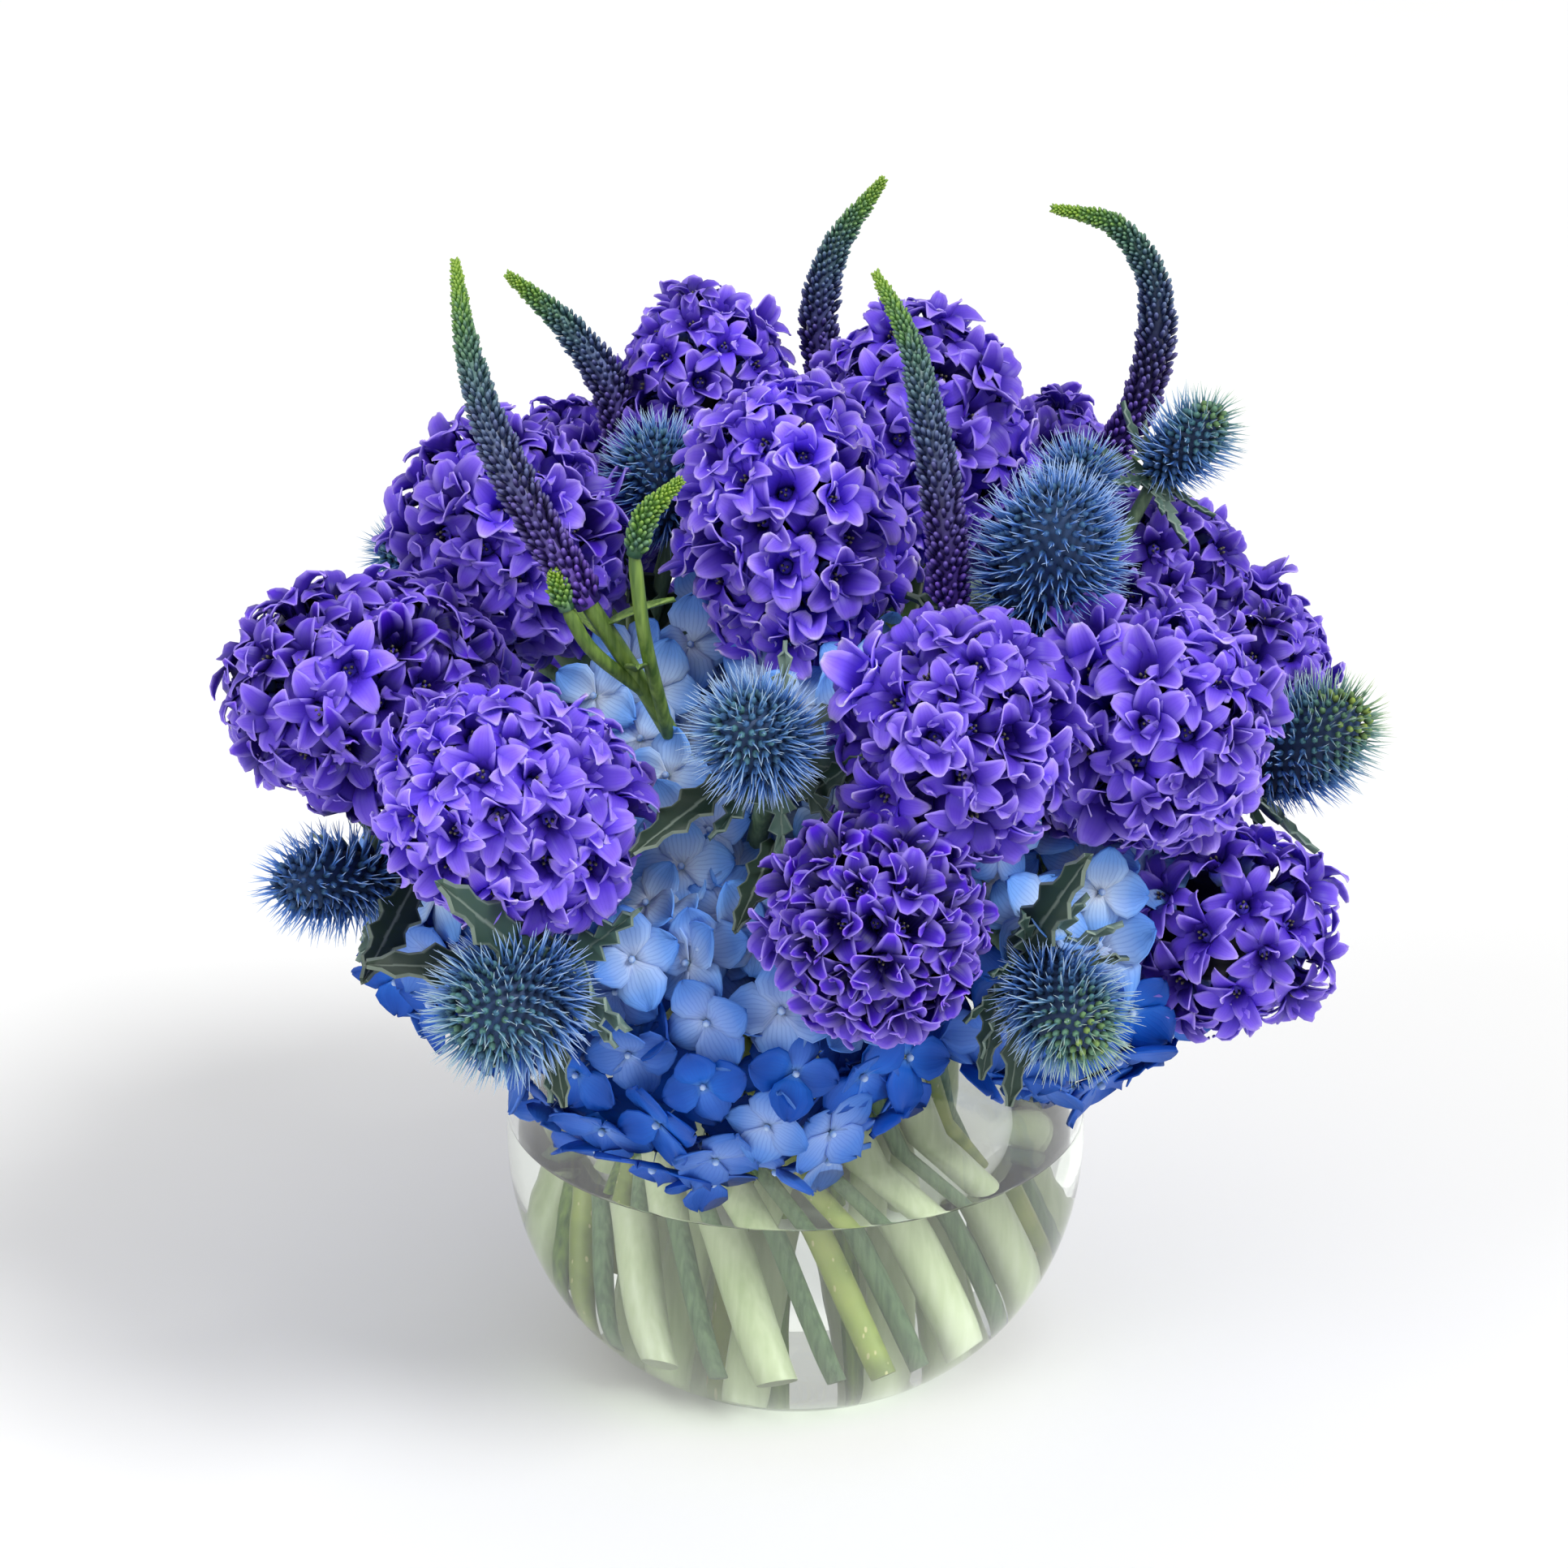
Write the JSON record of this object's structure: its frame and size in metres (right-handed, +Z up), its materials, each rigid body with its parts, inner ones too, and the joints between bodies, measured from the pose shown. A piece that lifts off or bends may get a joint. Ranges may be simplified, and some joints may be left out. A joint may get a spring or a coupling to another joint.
{
  "type": "hydrangeas in a vase",
  "caption": "Domed arrangement of blue mophead hydrangeas, violet hyacinths, sea hollies and curved speedwell spikes, its stems standing in water in a clear glass bubble bowl.",
  "frame": {"origin": "middle of the bowl's flat foot, on the table", "axes": "+Z up; -Y is the side that the arrangement faces, as pictured; +X is its right as seen from there"},
  "size_m": [0.287, 0.2674, 0.3066],
  "materials": {
    "glass": "clear blown soda glass, polished",
    "water": "still clear water, very slightly green",
    "hyacinth_stem": "thick smooth pale green flower stalk",
    "hydrangea_stem": "green woody stem, its leaf yellow-green",
    "hyacinth_petal": "waxy violet petals, paler at their edges",
    "hydrangea_sepal": "thin veined azure sepals, paler towards the middle",
    "sea_holly": "dry steel-blue bristles over green cones, grey-green bracts and stem",
    "speedwell": "tight dark violet buds, green at the tip, on a green stem"
  },
  "bodies": {
    "root": {"bowl": "glass", "hyacinth_back_bloom": "hyacinth_petal", "hyacinth_back_left_bloom": "hyacinth_petal", "hyacinth_back_left_stem": "hyacinth_stem", "hyacinth_back_stem": "hyacinth_stem", "hyacinth_back_upper_left_bloom": "hyacinth_petal", "hyacinth_back_upper_left_stem": "hyacinth_stem", "hyacinth_back_upper_right_bloom": "hyacinth_petal", "hyacinth_back_upper_right_stem": "hyacinth_stem", "hyacinth_centre_bloom": "hyacinth_petal", "hyacinth_centre_right_bloom": "hyacinth_petal", "hyacinth_centre_right_stem": "hyacinth_stem", "hyacinth_centre_stem": "hyacinth_stem", "hyacinth_far_right_bloom": "hyacinth_petal", "hyacinth_far_right_stem": "hyacinth_stem", "hyacinth_front_left_bloom": "hyacinth_petal", "hyacinth_front_left_stem": "hyacinth_stem", "hyacinth_front_low_bloom": "hyacinth_petal", "hyacinth_front_low_stem": "hyacinth_stem", "hyacinth_left_bloom": "hyacinth_petal", "hyacinth_left_stem": "hyacinth_stem", "hyacinth_lower_right_bloom": "hyacinth_petal", "hyacinth_lower_right_stem": "hyacinth_stem", "hyacinth_right_bloom": "hyacinth_petal", "hyacinth_right_stem": "hyacinth_stem", "hyacinth_top_bloom": "hyacinth_petal", "hyacinth_top_stem": "hyacinth_stem", "hyacinth_upper_far_right_bloom": "hyacinth_petal", "hyacinth_upper_far_right_stem": "hyacinth_stem", "hyacinth_upper_left_bloom": "hyacinth_petal", "hyacinth_upper_left_stem": "hyacinth_stem", "hyacinth_upper_right_bloom": "hyacinth_petal", "hyacinth_upper_right_stem": "hyacinth_stem", "hydrangea_back_bloom": "hydrangea_sepal", "hydrangea_back_stem": "hydrangea_stem", "hydrangea_crown_bloom": "hydrangea_sepal", "hydrangea_crown_stem": "hydrangea_stem", "hydrangea_front_bloom": "hydrangea_sepal", "hydrangea_front_stem": "hydrangea_stem", "hydrangea_left_bloom": "hydrangea_sepal", "hydrangea_left_stem": "hydrangea_stem", "hydrangea_right_bloom": "hydrangea_sepal", "hydrangea_right_stem": "hydrangea_stem", "sea_holly_back": "sea_holly", "sea_holly_centre": "sea_holly", "sea_holly_front_left": "sea_holly", "sea_holly_front_right": "sea_holly", "sea_holly_left": "sea_holly", "sea_holly_right": "sea_holly", "sea_holly_upper_left": "sea_holly", "sea_holly_upper_right": "sea_holly", "speedwell_centre": "speedwell", "speedwell_left": "speedwell", "speedwell_right": "speedwell", "speedwell_top": "speedwell", "speedwell_upper_left": "speedwell", "water": "water"}
  },
  "joints": []
}
